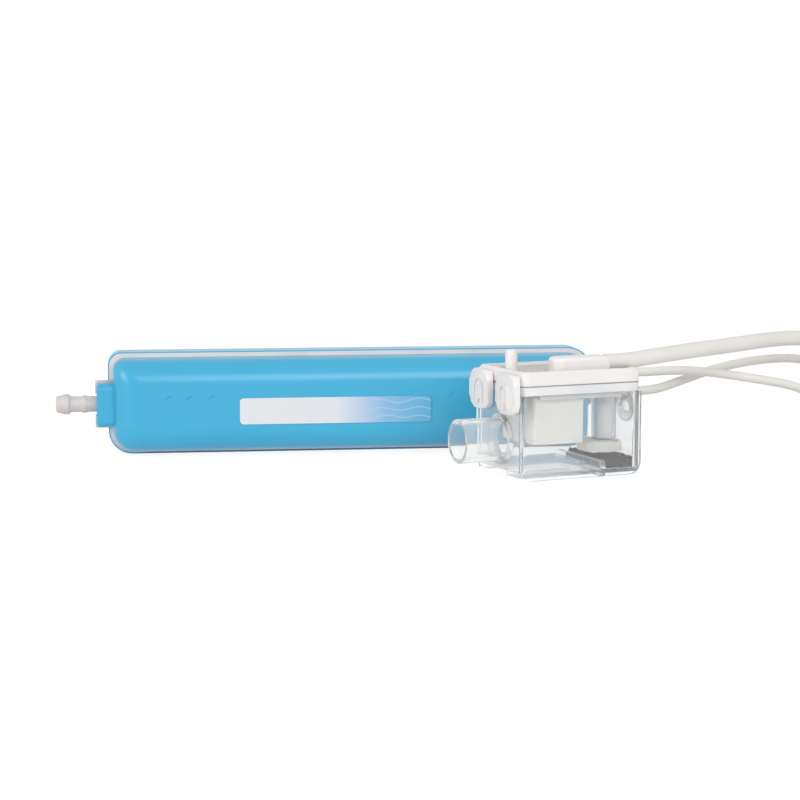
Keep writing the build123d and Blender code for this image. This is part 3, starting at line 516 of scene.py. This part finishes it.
def clear_plastic(name, tint, roughness, haze, veil=0.0):
    """Clear moulded plastic, slightly milky, with uneven gloss from handling."""
    material = bpy.data.materials.new(name)
    material.use_nodes = True
    nodes, links = material.node_tree.nodes, material.node_tree.links
    skin = nodes["Principled BSDF"]
    skin.inputs["Base Color"].default_value = (*tint, 1)
    skin.inputs["IOR"].default_value = 1.3
    place = nodes.new("ShaderNodeTexCoord")
    smear = nodes.new("ShaderNodeTexNoise")
    smear.inputs["Scale"].default_value = 90.0
    smear.inputs["Detail"].default_value = 4.0
    gloss = nodes.new("ShaderNodeMapRange")
    gloss.inputs["To Min"].default_value = roughness * 0.5
    gloss.inputs["To Max"].default_value = roughness * 1.5
    milk = nodes.new("ShaderNodeMapRange")
    milk.inputs["To Min"].default_value = 1.0 - haze * 0.7
    milk.inputs["To Max"].default_value = 1.0 - haze * 1.3
    # fine scratches show as milk where the wall is seen at a grazing angle
    turn = nodes.new("ShaderNodeLayerWeight")
    turn.inputs["Blend"].default_value = 0.5
    graze = nodes.new("ShaderNodeMapRange")
    graze.inputs["From Min"].default_value = 0.45
    graze.inputs["From Max"].default_value = 1.0
    graze.inputs["To Min"].default_value = 1.0
    graze.inputs["To Max"].default_value = 1.0 - veil
    clear = nodes.new("ShaderNodeMath")
    clear.operation = "MULTIPLY"
    links.new(turn.outputs["Facing"], graze.inputs["Value"])
    links.new(graze.outputs["Result"], clear.inputs[0])
    links.new(milk.outputs["Result"], clear.inputs[1])
    links.new(place.outputs["Object"], smear.inputs["Vector"])
    links.new(smear.outputs["Fac"], gloss.inputs["Value"])
    links.new(smear.outputs["Fac"], milk.inputs["Value"])
    links.new(gloss.outputs["Result"], skin.inputs["Roughness"])
    links.new(clear.outputs["Value"], skin.inputs["Transmission Weight"])
    return material


tank_clear = clear_plastic("tank_clear", (0.985, 0.99, 0.995), 0.04, 0.08, 0.6)
spigot_clear = clear_plastic("spigot_clear", (0.99, 0.99, 0.99), 0.05, 0.12, 0.5)
moulding("reservoir", "tank", "pump_and_tank", tank_clear, 0.3 * mm)
moulding("drain_spigot", "inlet_spigot", "pump_and_tank", spigot_clear, 0.3 * mm)
moulding("side_plug", "wall_plug", "pump_and_tank", spigot_clear, 0.3 * mm)

# ------------------------------------------------------------ filter mat
# A mat of dark open-cell foam behind the weir rib, cut by hand, so its faces are rough.
mat_foam = plain_plastic("mat_foam", (0.004, 0.005, 0.010), (0.028, 0.031, 0.048), 0.9, grain=60, depth=0.9)


def roughen(mesh, cuts, amount, scale, seed):
    """Splits a form finely and pulls its skin inward by a noise, like torn or lumpy stuff."""
    form = bmesh.new()
    form.from_mesh(mesh)
    bmesh.ops.remove_doubles(form, verts=form.verts, dist=3e-6)
    bmesh.ops.dissolve_limit(form, angle_limit=radians(0.6), verts=form.verts, edges=form.edges)
    bmesh.ops.triangulate(form, faces=form.faces)
    for _ in range(cuts):
        long_edges = [e for e in form.edges if e.calc_length() > 0.9 * mm]
        if not long_edges:
            break
        bmesh.ops.subdivide_edges(form, edges=long_edges, cuts=1, use_grid_fill=False)
        bmesh.ops.triangulate(form, faces=form.faces)
    form.normal_update()
    moves = {}
    for vertex in form.verts:
        value = noise.noise(vertex.co * scale + Vector((seed, seed, seed)))
        moves[vertex] = vertex.normal * (-amount * (0.5 + 0.5 * value))
    for vertex, move in moves.items():
        vertex.co += move
    form.to_mesh(mesh)
    form.free()


mat_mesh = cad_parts["filter_mat"].data.copy()
mat_mesh.name = "filter_foam"
roughen(mat_mesh, 6, 0.7 * mm, 900.0, 3.0)
set_shading(mat_mesh, 60)
filter_foam = add_piece("filter_foam", mat_mesh, "pump_and_tank", mat_foam, ["filter_mat"])

crumbs = bpy.data.node_groups.new("foam_crumbs", "GeometryNodeTree")
crumbs.interface.new_socket("Geometry", in_out="INPUT", socket_type="NodeSocketGeometry")
crumbs.interface.new_socket("Geometry", in_out="OUTPUT", socket_type="NodeSocketGeometry")
inlet, outlet = crumbs.nodes.new("NodeGroupInput"), crumbs.nodes.new("NodeGroupOutput")
scatter = crumbs.nodes.new("GeometryNodeDistributePointsOnFaces")
scatter.inputs["Density"].default_value = 420000.0
scatter.inputs["Seed"].default_value = 4
crumb = crumbs.nodes.new("GeometryNodeMeshIcoSphere")
crumb.inputs["Radius"].default_value = 0.4 * mm
crumb.inputs["Subdivisions"].default_value = 1
spread = crumbs.nodes.new("GeometryNodeInstanceOnPoints")
sizes = crumbs.nodes.new("FunctionNodeRandomValue")
sizes.data_type = "FLOAT_VECTOR"
sizes.inputs["Min"].default_value = (0.4, 0.4, 0.4)
sizes.inputs["Max"].default_value = (1.3, 1.3, 1.9)
real = crumbs.nodes.new("GeometryNodeRealizeInstances")
finish_node = crumbs.nodes.new("GeometryNodeSetMaterial")
finish_node.inputs["Material"].default_value = mat_foam
crumbs.links.new(inlet.outputs["Geometry"], scatter.inputs["Mesh"])
crumbs.links.new(scatter.outputs["Points"], spread.inputs["Points"])
crumbs.links.new(crumb.outputs["Mesh"], spread.inputs["Instance"])
crumbs.links.new(sizes.outputs["Value"], spread.inputs["Scale"])
crumbs.links.new(spread.outputs["Instances"], real.inputs["Geometry"])
crumbs.links.new(real.outputs["Geometry"], finish_node.inputs["Geometry"])
crumbs.links.new(finish_node.outputs["Geometry"], outlet.inputs["Geometry"])
bed = bpy.data.objects.new("crumb_bed", mat_mesh.copy())
scene.collection.objects.link(bed)
bed.modifiers.new("crumbs", "NODES").node_group = crumbs
crumb_mesh = bpy.data.meshes.new_from_object(bed.evaluated_get(bpy.context.evaluated_depsgraph_get()))
bpy.data.objects.remove(bed)
crumb_mesh.name = "filter_crumbs"
add_piece("filter_crumbs", crumb_mesh, "pump_and_tank", mat_foam)

# ------------------------------------------------------------ lid, seal and clips
# Satin white ABS lid with a bevelled rim round a sunk top, on a frosted seal whose skirts
# hang inside the tank walls. Two spring clips fold down over the left wall.
lid_white = plain_plastic("lid_white", (0.80, 0.775, 0.76), (0.84, 0.815, 0.80), 0.36, coat=0.15, haze=0.15)
frosted = clear_plastic("seal_frosted", (0.93, 0.93, 0.94), 0.5, 0.8)
nodes, links = frosted.node_tree.nodes, frosted.node_tree.links
# painted shadow: the seal's colour turns dark grey in a thin band at the parting line under the lid
split = nodes.new("ShaderNodeSeparateXYZ")
line = nodes.new("ShaderNodeMapRange")
line.inputs["From Min"].default_value = 0.03325
line.inputs["From Max"].default_value = 0.03345
painted_shadow_line = nodes.new("ShaderNodeMix")
painted_shadow_line.data_type = "RGBA"
painted_shadow_line.inputs["A"].default_value = (0.93, 0.93, 0.94, 1)
painted_shadow_line.inputs["B"].default_value = (0.36, 0.35, 0.36, 1)
links.new(nodes["Texture Coordinate"].outputs["Object"], split.inputs["Vector"])
links.new(split.outputs["Z"], line.inputs["Value"])
links.new(line.outputs["Result"], painted_shadow_line.inputs["Factor"])
links.new(painted_shadow_line.outputs["Result"], nodes["Principled BSDF"].inputs["Base Color"])
# a copy of the lid white that carries painted shade on its sunk top
lid_painted_shade = lid_white.copy()
lid_painted_shade.name = "lid_white_painted_shade"
nodes, links = lid_painted_shade.node_tree.nodes, lid_painted_shade.node_tree.links
skin = nodes["Principled BSDF"]
place = nodes["Texture Coordinate"]
# painted shade: the upward faces of the sunk top between 37.2 and 37.7 mm are painted darker grey, mottled by a fine
# noise
split = nodes.new("ShaderNodeSeparateXYZ")
above = nodes.new("ShaderNodeMath")
above.operation = "GREATER_THAN"
above.inputs[1].default_value = 0.0372
below = nodes.new("ShaderNodeMath")
below.operation = "LESS_THAN"
below.inputs[1].default_value = 0.0377
sunk = nodes.new("ShaderNodeMath")
sunk.operation = "MULTIPLY"
shade_mottle = nodes.new("ShaderNodeTexNoise")
shade_mottle.inputs["Scale"].default_value = 1900.0
shade_mottle_ramp = nodes.new("ShaderNodeValToRGB")
shade_mottle_ramp.color_ramp.elements[0].position = 0.35
shade_mottle_ramp.color_ramp.elements[0].color = (0.30, 0.29, 0.30, 1)
shade_mottle_ramp.color_ramp.elements[1].position = 0.65
shade_mottle_ramp.color_ramp.elements[1].color = (0.56, 0.54, 0.55, 1)
painted_shade_mix = nodes.new("ShaderNodeMix")
painted_shade_mix.data_type = "RGBA"
links.new(place.outputs["Object"], split.inputs["Vector"])
links.new(split.outputs["Z"], above.inputs[0])
links.new(split.outputs["Z"], below.inputs[0])
upward = nodes.new("ShaderNodeSeparateXYZ")
level = nodes.new("ShaderNodeMath")
level.operation = "GREATER_THAN"
level.inputs[1].default_value = 0.97
flat = nodes.new("ShaderNodeMath")
flat.operation = "MULTIPLY"
links.new(place.outputs["Normal"], upward.inputs["Vector"])
links.new(upward.outputs["Z"], level.inputs[0])
links.new(above.outputs["Value"], sunk.inputs[0])
links.new(below.outputs["Value"], sunk.inputs[1])
links.new(sunk.outputs["Value"], flat.inputs[0])
links.new(level.outputs["Value"], flat.inputs[1])
links.new(place.outputs["Object"], shade_mottle.inputs["Vector"])
links.new(shade_mottle.outputs["Fac"], shade_mottle_ramp.inputs["Fac"])
links.new(flat.outputs["Value"], painted_shade_mix.inputs["Factor"])
links.new(nodes["Color Ramp"].outputs["Color"], painted_shade_mix.inputs["A"])
links.new(shade_mottle_ramp.outputs["Color"], painted_shade_mix.inputs["B"])
links.new(painted_shade_mix.outputs["Result"], skin.inputs["Base Color"])
moulding("tank_lid", "lid", "lid", lid_painted_shade, 0.4 * mm, 4)
moulding("frosted_seal", "rim_seal", "lid", frosted, 0.25 * mm)
moulding("sensor_cover", "sensor_head", "lid", lid_white, 0.3 * mm)
moulding("vent_stub", "vent_tube", "lid", lid_white, 0.3 * mm)
tank_place = Matrix.Translation((50.5 * mm, -91.7 * mm, 0)) @ Matrix.Rotation(radians(17.06), 4, "Z")
clip_width = 15.0 * mm
clip_top = 37.7 * mm
clip_bottom = 23.5 * mm
clip_outer = -3.0 * mm
clip_inner = -0.8 * mm
clip_hole_height = 26.0 * mm
groove_spread = 3.2 * mm
groove_half = 0.42 * mm


def rounded_plate(form, middle, half_width, low, high, low_radius, high_radius, x_from, x_to):
    """Plate across the X axis with its lower and upper corners rounded."""
    points = []
    for way_y, way_z, start, radius in ((1, 1, 0, high_radius), (-1, 1, 90, high_radius), (-1, -1, 180, low_radius), (1, -1, 270, low_radius)):
        centre_y = middle + way_y * (half_width - radius)
        centre_z = (high if way_z > 0 else low) - way_z * radius
        for step in range(9):
            angle = radians(start + 90 * step / 8)
            points.append((centre_y + radius * cos(angle), centre_z + radius * sin(angle)))
    caps = [[form.verts.new((x, y, z)) for y, z in points] for x in (x_from, x_to)]
    form.faces.new(caps[0])
    form.faces.new(caps[1][::-1])
    for a, b, c, d in zip(caps[0], caps[0][1:] + caps[0][:1], caps[1][1:] + caps[1][:1], caps[1]):
        form.faces.new((a, b, c, d))
    return caps[0]


def arch_form(middle):
    """Groove cutter: an arch with two legs, open at the bottom."""
    form = bmesh.new()
    inner, outer = [], []
    top = clip_hole_height + 4.6 * mm
    for radius, line in ((groove_spread - groove_half, inner), (groove_spread + groove_half, outer)):
        line.append((middle + radius, clip_hole_height - 0.4 * mm))
        for step in range(17):
            angle = pi * step / 16
            line.append((middle + radius * cos(angle), top + radius * sin(angle)))
        line.append((middle - radius, clip_hole_height - 0.4 * mm))
    layers = []
    for x in (clip_outer - 1 * mm, clip_outer + 0.55 * mm):
        layers.append([[form.verts.new((x, y, z)) for y, z in line] for line in (inner, outer)])
    for (a_in, a_out), flip in ((layers[0], False), (layers[1], True)):
        for a, b, c, d in zip(a_in, a_in[1:], a_out[1:], a_out):
            form.faces.new((d, c, b, a) if flip else (a, b, c, d))
    for line in (0, 1):
        for a, b, c, d in zip(layers[0][line], layers[0][line][1:], layers[1][line][1:], layers[1][line]):
            form.faces.new((a, b, c, d))
    for end in (0, -1):
        form.faces.new((layers[0][0][end], layers[0][1][end], layers[1][1][end], layers[1][0][end]))
    return form


for side, middle in (("front", clip_width / 2), ("rear", 36.0 * mm - clip_width / 2)):
    ear = bmesh.new()
    front_loop = rounded_plate(ear, middle, clip_width / 2, clip_bottom, clip_top, 4.0 * mm, 4.2 * mm, clip_outer, clip_inner)
    rim = [e for e in ear.edges if all(abs(v.co.x - clip_outer) < 1e-7 for v in e.verts)]
    bmesh.ops.bevel(ear, geom=rim, offset=0.9 * mm, segments=5, profile=0.5, affect="EDGES")
    rounded_plate(ear, middle, clip_width / 2 - 1.2 * mm, 34.0 * mm, clip_top - 0.3 * mm, 0.3 * mm, 1.0 * mm, clip_inner - 0.3 * mm, -0.15 * mm)
    bmesh.ops.recalc_face_normals(ear, faces=ear.faces)
    ear_mesh = bpy.data.meshes.new(f"{side}_clip")
    ear.to_mesh(ear_mesh)
    ear.free()
    ear_mesh = cut_form(ear_mesh, arch_form(middle), "DIFFERENCE")
    bore = bmesh.new()
    bmesh.ops.create_cone(
        bore, cap_ends=True, segments=32, radius1=0.85 * mm, radius2=0.85 * mm, depth=2.4 * mm,
        matrix=Matrix.Translation((clip_outer, middle, clip_hole_height)) @ Matrix.Rotation(radians(90), 4, "Y"),
    )
    ear_mesh = cut_form(ear_mesh, bore, "DIFFERENCE")
    ear_mesh.transform(tank_place)
    set_shading(ear_mesh, 40)
    add_piece(f"{side}_clip", ear_mesh, f"clip_{side}", lid_white, [f"clip_{side}"])

# ------------------------------------------------------------ float and what hangs in the tank
# An ivory closed-cell float rides on a white stem, with a ring magnet let into its top.
# The pick-up tube hangs from the lid and ends in a lumpy ivory foot.
float_ivory = plain_plastic("float_ivory", (0.88, 0.87, 0.82), (0.92, 0.91, 0.86), 0.5, haze=0.3)
moulding("float_body", "float", "float", float_ivory, 0.7 * mm, 4)
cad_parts["float_magnet"].data.materials[0] = case_black
moulding("stem", "guide_stem", "lid", barb_white, 0.2 * mm)
tube_clear = clear_plastic("tube_translucent", (0.98, 0.985, 0.99), 0.2, 0.22)
moulding("hanging_tube", "pickup_tube", "lid", tube_clear, 0.2 * mm)
foot_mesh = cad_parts["pickup_foot"].data.copy()
foot_mesh.name = "tube_foot"
roughen(foot_mesh, 6, 1.1 * mm, 380.0, 8.0)
set_shading(foot_mesh, 60)
foot_resin = plain_plastic("foot_resin", (0.70, 0.70, 0.66), (0.86, 0.86, 0.82), 0.35, haze=0.4)
add_piece("tube_foot", foot_mesh, "lid", foot_resin, ["pickup_foot"])

# ------------------------------------------------------------ lead glands
# Tapered strain reliefs of the seal's elastomer, with three grip grooves each.
for name in ("alarm", "power"):
    moulding(f"{name}_relief", f"{name}_gland", "pump_and_tank", seal_grey, 0.15 * mm)

# ------------------------------------------------------------ leads
# Three round leads in ivory PVC: the thick sensor lead from the lid, and the alarm and
# power leads from the casing. Their stored length lies in neat coils beside the object.
sheath_ivory = plain_plastic("sheath_ivory", (0.75, 0.725, 0.69), (0.81, 0.785, 0.75), 0.5, haze=0.1)
sensor_diameter = 5.8 * mm
thin_diameter = 3.5 * mm
turn_step = 20


def wound_turns(centre, first_angle, sense, legs, last_angle):
    """Points of a coil. legs are (ring radius, height, angle at which the lead leaves it)."""
    shift = 40
    shrink = cos(radians(turn_step / 2))
    points, leg = [], 0
    for angle in range(turn_step, last_angle + 1, turn_step):
        while leg + 1 < len(legs) and angle >= legs[leg][2] + shift:
            leg += 1
        radius, height = legs[leg][:2]
        if leg + 1 < len(legs) and angle > legs[leg][2]:
            share = (angle - legs[leg][2]) / shift
            radius += (legs[leg + 1][0] - radius) * share
            height += (legs[leg + 1][1] - height) * share
        turn = radians(first_angle + sense * angle)
        points.append((
            centre[0] + radius / shrink * cos(turn),
            centre[1] + radius / shrink * sin(turn),
            height,
        ))
    return points


def lead(name, points, diameter, body, stands_for):
    """A lead along one smooth spline, in metres from points in millimetres."""
    curve = bpy.data.curves.new(name, "CURVE")
    curve.dimensions = "3D"
    curve.bevel_depth = diameter / 2
    curve.bevel_resolution = 5
    curve.resolution_u = 6
    curve.use_fill_caps = True
    spline = curve.splines.new("NURBS")
    spline.points.add(len(points) - 1)
    for point, place in zip(spline.points, points):
        point.co = (*(Vector(place) * mm), 1)
    spline.order_u = 3
    spline.use_endpoint_u = True
    curve.materials.append(sheath_ivory)
    piece = bpy.data.objects.new(name, curve)
    scene.collection.objects.link(piece)
    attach(piece, body)
    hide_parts(*stands_for)
    return piece


sensor_exit = (84.158, -71.563, 40.1)
sensor_route = [
    sensor_exit,
    (92.762, -68.922, 40.1),
    (104, -63.9, 41.2),
    (120, -55.5, 42.3),
    (139.3, -43, 42.9),
    (157, -30.6, 43.7),
    (173.3, -19.5, 43.4),
    (191, -11, 41.5),
    (209, -11, 34),
    (225, -19, 22.5),
    (236, -34.5, 13.5),
    (241.2, -53, 8.7),
]
sensor_coil = (206.4, -53.0)
rings = (34.8, 29.0, 23.2)
sensor_legs = [
    (rings[0], 8.7, 300),
    (rings[1], 8.7, 660),
    (rings[2], 8.7, 970),
    (rings[2], 2.9, 1280),
    (rings[1], 2.9, 1640),
    (rings[0], 2.9, 1890),
]
sensor_points = sensor_route + wound_turns(sensor_coil, 0, -1, sensor_legs, 1880)
sensor_points += [(200, -87.8, 2.9), (191, -87.8, 2.9), (177.9, -87.8, 2.9)]
plug = moulding("lead_plug", "sensor_plug", "lid", barb_white, 0.5 * mm, 4)
lead(
    "sensor_cable",
    sensor_points,
    sensor_diameter,
    "lid",
    ["sensor_lead", "sensor_lead_coil", "sensor_lead_tail"],
)

alarm_route = [
    (109.6, -13.5, 30),
    (115.6, -13.5, 30),
    (125, -16, 30.9),
    (138, -19.2, 30.3),
    (153, -22.6, 28.2),
    (171.5, -23.8, 25),
    (181, -20.3, 19.8),
    (188, -12, 12.8),
    (190.6, -1, 6.4),
    (192, 11, 2.6),
    (192.4, 24, 1.75),
]
thin_coil = (213.4, 24.0)
thin_rings = (21.0, 17.5, 14.0)


def thin_legs(bottom, middle, top):
    """The nine rings of a thin lead's coil, in the order in which it is wound."""
    return [
        (thin_rings[0], bottom, 200),
        (thin_rings[1], bottom, 560),
        (thin_rings[2], bottom, 880),
        (thin_rings[2], middle, 1190),
        (thin_rings[1], middle, 1550),
        (thin_rings[0], middle, 1860),
        (thin_rings[0], top, 2180),
        (thin_rings[1], top, 2540),
        (thin_rings[2], top, 2900),
    ]


lead(
    "alarm_cable",
    alarm_route + wound_turns(thin_coil, 180, -1, thin_legs(1.75, 5.25, 8.75), 2860),
    thin_diameter,
    "pump_and_tank",
    ["alarm_lead", "alarm_lead_coil"],
)
power_route = [
    (109.6, -13.5, 22.6),
    (116.6, -13.5, 22.6),
    (127, -11.2, 25.4),
    (142, -6.5, 29.8),
    (160, -1.5, 32.8),
    (180.8, 3, 33.5),
    (198, 4, 28),
    (213.4, 3, 19.25),
]
lead(
    "power_cable",
    power_route + wound_turns(thin_coil, 270, 1, thin_legs(19.25, 15.75, 12.25), 2860),
    thin_diameter,
    "pump_and_tank",
    ["power_lead", "power_lead_coil"],
)

# ------------------------------------------------------------ floor and light
# A plain pale floor that runs to the horizon, and soft boxes in front and above.
floor_mesh = bpy.data.meshes.new("floor")
reach = 12.0
floor_mesh.from_pydata(
    [(-reach, -reach, -0.0001), (reach, -reach, -0.0001), (reach, reach, -0.0001), (-reach, reach, -0.0001)],
    [],
    [(0, 1, 2, 3)],
)
floor = bpy.data.objects.new("floor", floor_mesh)
scene.collection.objects.link(floor)
paper = bpy.data.materials.new("floor_paper")
paper.use_nodes = True
nodes, links = paper.node_tree.nodes, paper.node_tree.links
skin = nodes["Principled BSDF"]
skin.inputs["Base Color"].default_value = (0.9, 0.9, 0.9, 1)
skin.inputs["Roughness"].default_value = 0.9
skin.inputs["Specular IOR Level"].default_value = 0.0
glow = nodes.new("ShaderNodeEmission")
glow.inputs["Color"].default_value = (1, 1, 1, 1)
glow.inputs["Strength"].default_value = 1.12
seen = nodes.new("ShaderNodeLightPath")
either = nodes.new("ShaderNodeMath")
either.operation = "MAXIMUM"
third = nodes.new("ShaderNodeMath")
third.operation = "MAXIMUM"
share = nodes.new("ShaderNodeMath")
share.operation = "MULTIPLY"
share.inputs[1].default_value = 0.8
blend = nodes.new("ShaderNodeMixShader")
links.new(seen.outputs["Is Camera Ray"], either.inputs[0])
links.new(seen.outputs["Is Glossy Ray"], either.inputs[1])
links.new(either.outputs["Value"], third.inputs[0])
links.new(seen.outputs["Is Transmission Ray"], third.inputs[1])
links.new(third.outputs["Value"], share.inputs[0])
links.new(share.outputs["Value"], blend.inputs["Fac"])
links.new(skin.outputs["BSDF"], blend.inputs[1])
links.new(glow.outputs["Emission"], blend.inputs[2])
links.new(blend.outputs["Shader"], nodes["Material Output"].inputs["Surface"])
floor_mesh.materials.append(paper)

world = bpy.data.worlds.new("studio")
scene.world = world
world.use_nodes = True
nodes, links = world.node_tree.nodes, world.node_tree.links
ambient = nodes["Background"]
ambient.inputs["Strength"].default_value = 0.78
white = nodes.new("ShaderNodeBackground")
white.inputs["Color"].default_value = (1, 1, 1, 1)
white.inputs["Strength"].default_value = 1.0
# the room is brighter in front of the object than above and behind it
place = nodes.new("ShaderNodeTexCoord")
split = nodes.new("ShaderNodeSeparateXYZ")
front = nodes.new("ShaderNodeMapRange")
front.inputs["From Min"].default_value = 1.0
front.inputs["From Max"].default_value = -1.0
front.inputs["To Min"].default_value = 0.45
front.inputs["To Max"].default_value = 1.15
links.new(place.outputs["Generated"], split.inputs["Vector"])
links.new(split.outputs["Y"], front.inputs["Value"])
links.new(front.outputs["Result"], ambient.inputs["Color"])
seen = nodes.new("ShaderNodeLightPath")
either = nodes.new("ShaderNodeMath")
either.operation = "MAXIMUM"
third = nodes.new("ShaderNodeMath")
third.operation = "MAXIMUM"
pick = nodes.new("ShaderNodeMixShader")
links.new(seen.outputs["Is Camera Ray"], either.inputs[0])
links.new(seen.outputs["Is Glossy Ray"], either.inputs[1])
links.new(either.outputs["Value"], third.inputs[0])
links.new(seen.outputs["Is Transmission Ray"], third.inputs[1])
links.new(third.outputs["Value"], pick.inputs["Fac"])
links.new(ambient.outputs["Background"], pick.inputs[1])
links.new(white.outputs["Background"], pick.inputs[2])
links.new(pick.outputs["Shader"], nodes["World Output"].inputs["Surface"])


def soft_box(name, place, aim, width, height, power):
    """Area lamp at a place, turned to a point."""
    lamp = bpy.data.lights.new(name, "AREA")
    lamp.shape = "RECTANGLE"
    lamp.size = width
    lamp.size_y = height
    lamp.energy = power
    box = bpy.data.objects.new(name, lamp)
    scene.collection.objects.link(box)
    box.location = place
    box.rotation_euler = (Vector(aim) - Vector(place)).to_track_quat("-Z", "Y").to_euler()


soft_box("key_box", (0.3, -1.1, 0.6), (0, 0, 0.02), 0.8, 0.5, 4.5)
soft_box("fill_box", (-1.0, -0.6, 0.35), (0.05, -0.08, 0.02), 0.6, 0.6, 4.0)

# ------------------------------------------------------------ camera
# A 93 mm lens 0.8 m in front, a little above the object, turned 7 degrees to its right.
lens = bpy.data.cameras.new("camera")
lens.sensor_width = 36.0
lens.lens = 92.82
lens.clip_start = 0.01
camera = bpy.data.objects.new("camera", lens)
scene.collection.objects.link(camera)
camera.location = (-0.0804, -0.7985, 0.1162)
camera.rotation_euler = (radians(90 - 6.91), 0, radians(-7.08))
scene.camera = camera
scene.view_settings.view_transform = "Standard"
